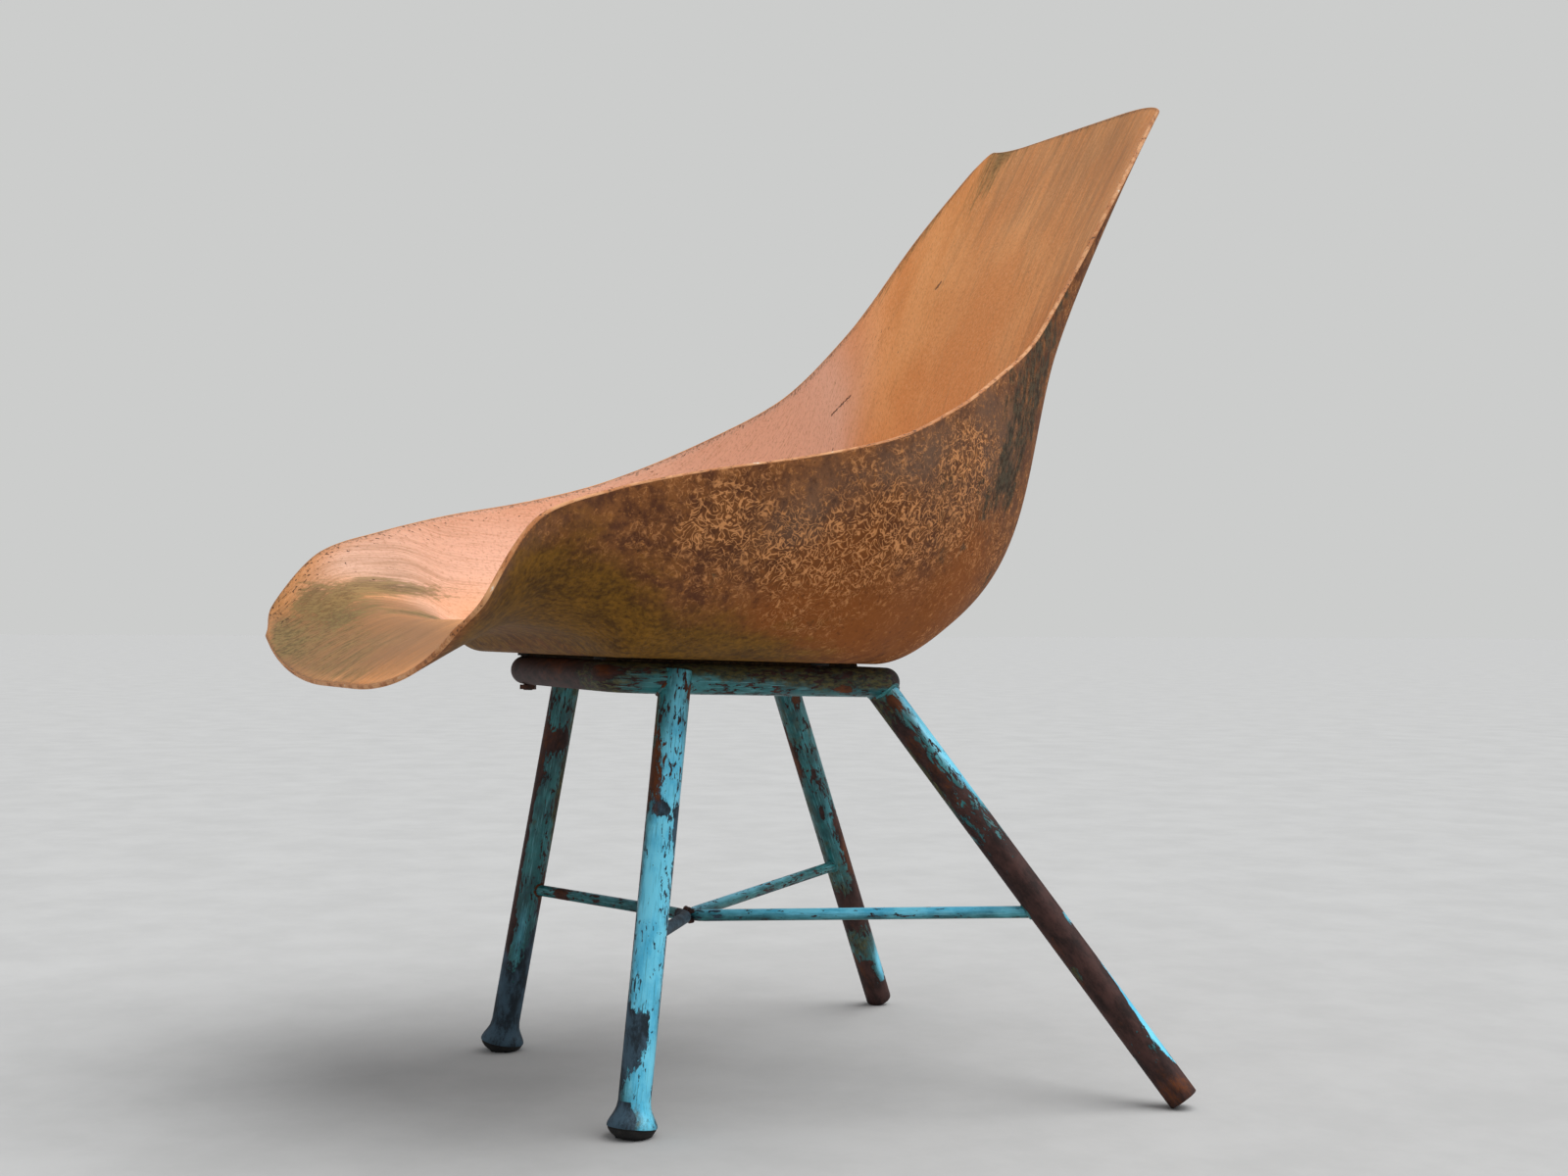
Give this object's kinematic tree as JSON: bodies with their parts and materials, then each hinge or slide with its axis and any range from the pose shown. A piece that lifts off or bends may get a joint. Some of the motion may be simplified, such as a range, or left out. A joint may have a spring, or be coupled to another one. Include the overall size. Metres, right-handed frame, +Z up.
{
  "type": "bucket chair",
  "caption": "Weathered moulded bucket seat on splayed tube legs with rod stretchers, orange shell over peeling turquoise paint.",
  "frame": {"origin": "on the floor, under the middle of the bounding box", "axes": "+Z up; the seat faces -Y; +X is the sitter's left"},
  "size_m": [0.56, 0.7404, 0.87],
  "materials": {
    "seat_plastic": "weathered orange glass-fibre laminate, stained olive and brown outside",
    "peeling_paint": "turquoise gloss paint peeling to dark rusty steel",
    "rusty_steel": "rusted",
    "rubber": "dull black, hardened"
  },
  "bodies": {
    "root": {"bell_foot_front_left": "peeling_paint", "bell_foot_front_right": "peeling_paint", "bolt_front_right": "rusty_steel", "foot_pad_front_left": "rubber", "foot_pad_front_right": "rubber", "leg_back_left": "peeling_paint", "leg_back_right": "peeling_paint", "leg_front_left": "peeling_paint", "leg_front_right": "peeling_paint", "nut_front_right": "rusty_steel", "ring_frame": "peeling_paint", "rivet_back_left": "rusty_steel", "rivet_back_right": "rusty_steel", "rivet_front_left": "rusty_steel", "seat_shell": "seat_plastic", "spacer_back_left": "rubber", "spacer_back_right": "rubber", "spacer_front_left": "rubber", "spacer_front_right": "rubber", "stretcher_back": "peeling_paint", "stretcher_front": "peeling_paint", "washer_back_left": "rusty_steel", "washer_back_right": "rusty_steel", "washer_front_left": "rusty_steel", "washer_front_right": "rusty_steel"}
  },
  "joints": []
}
